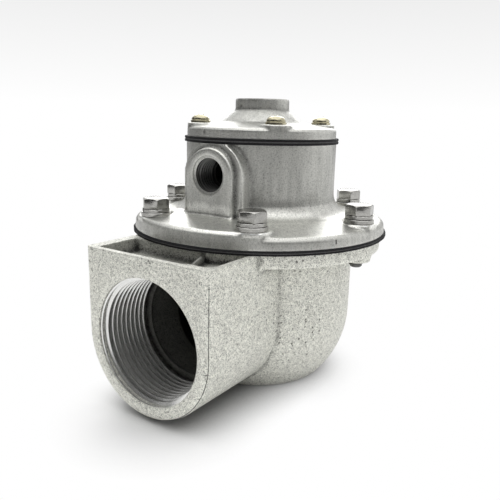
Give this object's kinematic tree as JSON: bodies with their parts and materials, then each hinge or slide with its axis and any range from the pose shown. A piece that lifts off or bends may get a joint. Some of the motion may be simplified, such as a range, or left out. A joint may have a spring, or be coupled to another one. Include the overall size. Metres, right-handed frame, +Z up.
{
  "type": "dust collector pulse valve",
  "caption": "Right angle pulse valve: cast body with threaded side and bottom ports, main diaphragm, bonnet with a threaded vent, pilot diaphragm and cover with a pilot port.",
  "frame": {"origin": "centre of the bottom port's mouth, on the valve's axis, level with the foot ring that it stands on", "axes": "+Z up along the valve's axis from the bottom port to the pilot port; -Y out of the side port and the vent; +X to the right when the side port faces the viewer"},
  "size_m": [0.1098, 0.1276, 0.117],
  "materials": {
    "cast_body": "cast and shot blasted",
    "cast_bonnet": "cast, smoother than the body",
    "diaphragm_rubber": "matt, with a fabric layer",
    "plate_steel": "brushed",
    "zinc_steel": "bright zinc",
    "yellow_zinc": "yellow zinc",
    "spring_wire": "drawn wire",
    "rivet_brass": "turned"
  },
  "bodies": {
    "valve": {"valve_body": "cast_body", "main_diaphragm": "diaphragm_rubber", "main_spring": "spring_wire", "bonnet": "cast_bonnet", "pilot_diaphragm": "diaphragm_rubber", "pilot_spring": "spring_wire", "pilot_cover": "cast_bonnet", "hex_bolt_1": "zinc_steel", "hex_bolt_2": "zinc_steel", "hex_bolt_3": "zinc_steel", "hex_bolt_4": "zinc_steel", "hex_bolt_5": "zinc_steel", "hex_bolt_6": "zinc_steel", "spring_washer_1": "zinc_steel", "spring_washer_2": "zinc_steel", "spring_washer_3": "zinc_steel", "spring_washer_4": "zinc_steel", "spring_washer_5": "zinc_steel", "spring_washer_6": "zinc_steel", "plain_washer_1": "zinc_steel", "plain_washer_2": "zinc_steel", "plain_washer_3": "zinc_steel", "plain_washer_4": "zinc_steel", "plain_washer_5": "zinc_steel", "plain_washer_6": "zinc_steel", "cover_screw_1": "yellow_zinc", "cover_screw_2": "yellow_zinc", "cover_screw_3": "yellow_zinc", "cover_screw_4": "yellow_zinc", "screw_washer_1": "yellow_zinc", "screw_washer_2": "yellow_zinc", "screw_washer_3": "yellow_zinc", "screw_washer_4": "yellow_zinc"},
    "main_valve": {"main_plate_upper": "plate_steel", "main_plate_lower": "plate_steel", "centre_bolt": "zinc_steel", "centre_nut": "zinc_steel"},
    "pilot_valve": {"pilot_plate": "plate_steel", "pilot_washer": "plate_steel", "pilot_rivet": "rivet_brass"}
  },
  "joints": [
    {"name": "main_lift", "type": "slide", "parent": "valve", "child": "main_valve", "axis": [0, 0, 1], "range_m": [0, 0.008], "stiffness_N_per_m": 800, "springref_m": -0.012, "deforming": ["main_diaphragm", "main_spring"]},
    {"name": "pilot_lift", "type": "slide", "parent": "valve", "child": "pilot_valve", "axis": [0, 0, 1], "range_m": [0, 0.003], "stiffness_N_per_m": 500, "springref_m": -0.006, "deforming": ["pilot_diaphragm", "pilot_spring"]}
  ]
}
